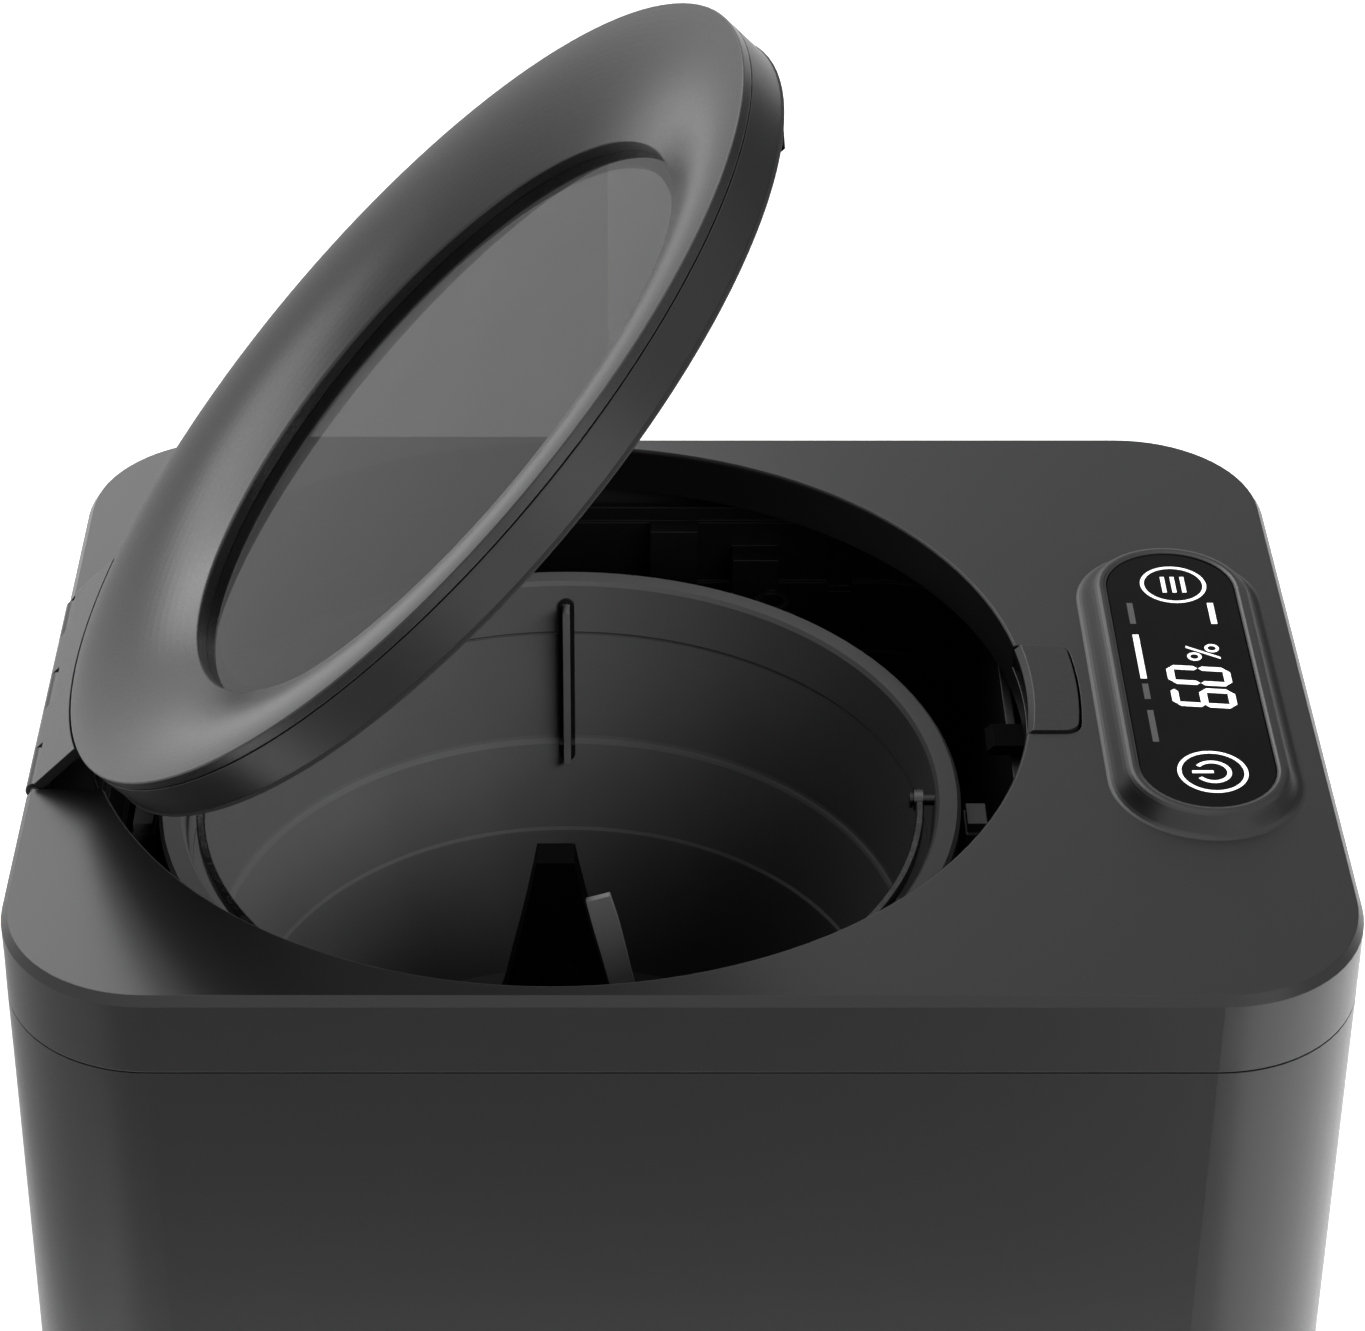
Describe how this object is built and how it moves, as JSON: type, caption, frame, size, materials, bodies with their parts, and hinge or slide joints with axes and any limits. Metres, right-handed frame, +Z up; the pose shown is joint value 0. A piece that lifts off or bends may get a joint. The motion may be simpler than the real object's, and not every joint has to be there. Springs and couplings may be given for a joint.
{
  "type": "electric food waste composter",
  "caption": "Countertop appliance that dries and grinds food waste in a heated, stirred bucket, with a hinged round lid, a push release, a touch panel and a pull-out filter.",
  "frame": {"origin": "middle of the footprint, on the surface the feet stand on", "axes": "+Z up, front with the control panel at -Y, lid hinge at +Y, width along X"},
  "size_m": [0.2646, 0.3394, 0.5231],
  "materials": {
    "cover": "satin dark grey",
    "shell": "matt dark grey",
    "dark": "matt",
    "black_gloss": "polished black",
    "smoked_glass": "polished, smoked",
    "rubber": "matt",
    "coated_metal": "dark non-stick coating",
    "steel": "brushed",
    "arm": "satin grey",
    "brass": "turned",
    "aluminium": "cast",
    "board": "circuit board",
    "copper": "copper winding",
    "white_plastic": "light diffuser",
    "carbon": "rough"
  },
  "bodies": {
    "appliance": {"top_cover": "cover", "body_shell": "shell", "base_plate": "dark", "rubber_feet": "rubber", "body_screws": "steel", "inner_chamber": "dark", "bucket_locators": "dark", "chassis_plate": "steel", "control_glass": "black_gloss", "display_board": "board", "digit_module": "white_plastic", "touch_pads": "brass", "lid_sensor": "dark", "latch_bracket": "dark", "hinge_pin": "steel", "heater_pot": "aluminium", "heating_element": "steel", "thermostat": "aluminium", "gearbox_housing": "aluminium", "gearbox_cover": "aluminium", "output_bushes": "brass", "idler_axle": "steel", "motor_can": "steel", "air_duct": "dark", "filter_bay": "dark", "power_inlet": "dark", "main_board": "board"},
    "lid": {"lid_cover": "cover", "lid_pan": "shell", "lid_flap": "cover", "lid_window": "smoked_glass", "window_gasket": "rubber", "window_retainer": "shell", "lid_seal": "rubber", "latch_striker": "steel", "lid_magnet": "steel", "lid_screws": "steel"},
    "button": {"release_button": "cover", "button_springs": "steel"},
    "latch": {"latch_slide": "dark", "latch_spring": "steel"},
    "bucket": {"bucket": "coated_metal", "breaker_fin": "coated_metal", "bail_pivots": "steel", "shaft_bush": "brass", "shaft_seal": "rubber"},
    "bail": {"bail_handle": "steel"},
    "stirrer": {"stirrer_hub": "dark", "stirrer_arms": "arm", "stirrer_shaft": "steel", "drive_socket": "dark"},
    "output": {"output_shaft": "steel", "output_gear": "steel", "drive_dog": "dark"},
    "idler": {"idler_gear": "steel"},
    "motor": {"motor_rotor": "copper", "motor_pinion": "brass"},
    "fan": {"fan_impeller": "dark"},
    "drawer": {"filter_drawer": "shell", "carbon_cartridge": "carbon"}
  },
  "joints": [
    {"name": "lid_hinge", "type": "hinge", "parent": "appliance", "child": "lid", "pos_m": [0, 0.1632, 0.3426], "axis": [-1, 0, 0], "range_deg": [-45, 40]},
    {"name": "release_button", "type": "slide", "parent": "appliance", "child": "button", "axis": [0, 0, -1], "range_m": [0, 0.0035], "stiffness_N_per_m": 300, "springref_m": -0.001, "deforming": ["button_springs"]},
    {"name": "latch_slide", "type": "slide", "parent": "appliance", "child": "latch", "axis": [0, -1, 0], "range_m": [0, 0.0035], "deforming": ["latch_spring"]},
    {"name": "bucket_lift", "type": "slide", "parent": "appliance", "child": "bucket", "axis": [0, 0, 1], "range_m": [0, 0.034]},
    {"name": "bail_swing", "type": "hinge", "parent": "bucket", "child": "bail", "pos_m": [0, 0.0313, 0.309], "axis": [0, 1, 0], "range_deg": [0, 172]},
    {"name": "stirrer_spin", "type": "hinge", "parent": "bucket", "child": "stirrer", "pos_m": [0, 0.0313, 0.2], "axis": [0, 0, 1], "continuous": true},
    {"name": "output_spin", "type": "hinge", "parent": "appliance", "child": "output", "pos_m": [0, 0.0313, 0.12], "axis": [0, 0, 1], "continuous": true},
    {"name": "idler_spin", "type": "hinge", "parent": "appliance", "child": "idler", "pos_m": [0, -0.0137, 0.12], "axis": [0, 0, 1], "continuous": true},
    {"name": "motor_spin", "type": "hinge", "parent": "appliance", "child": "motor", "pos_m": [0, -0.0587, 0.1], "axis": [0, 0, 1], "continuous": true},
    {"name": "fan_spin", "type": "hinge", "parent": "appliance", "child": "fan", "pos_m": [-0.088, 0.12, 0.147], "axis": [0, 0, 1], "continuous": true},
    {"name": "filter_pull", "type": "slide", "parent": "appliance", "child": "drawer", "axis": [0, 1, 0], "range_m": [0, 0.09]}
  ],
  "couplings": [
    {"joint": "latch_slide", "follows": "release_button", "ratio": 1},
    {"joint": "stirrer_spin", "follows": "output_spin", "ratio": 1},
    {"joint": "idler_spin", "follows": "output_spin", "ratio": -4},
    {"joint": "motor_spin", "follows": "output_spin", "ratio": 16}
  ]
}
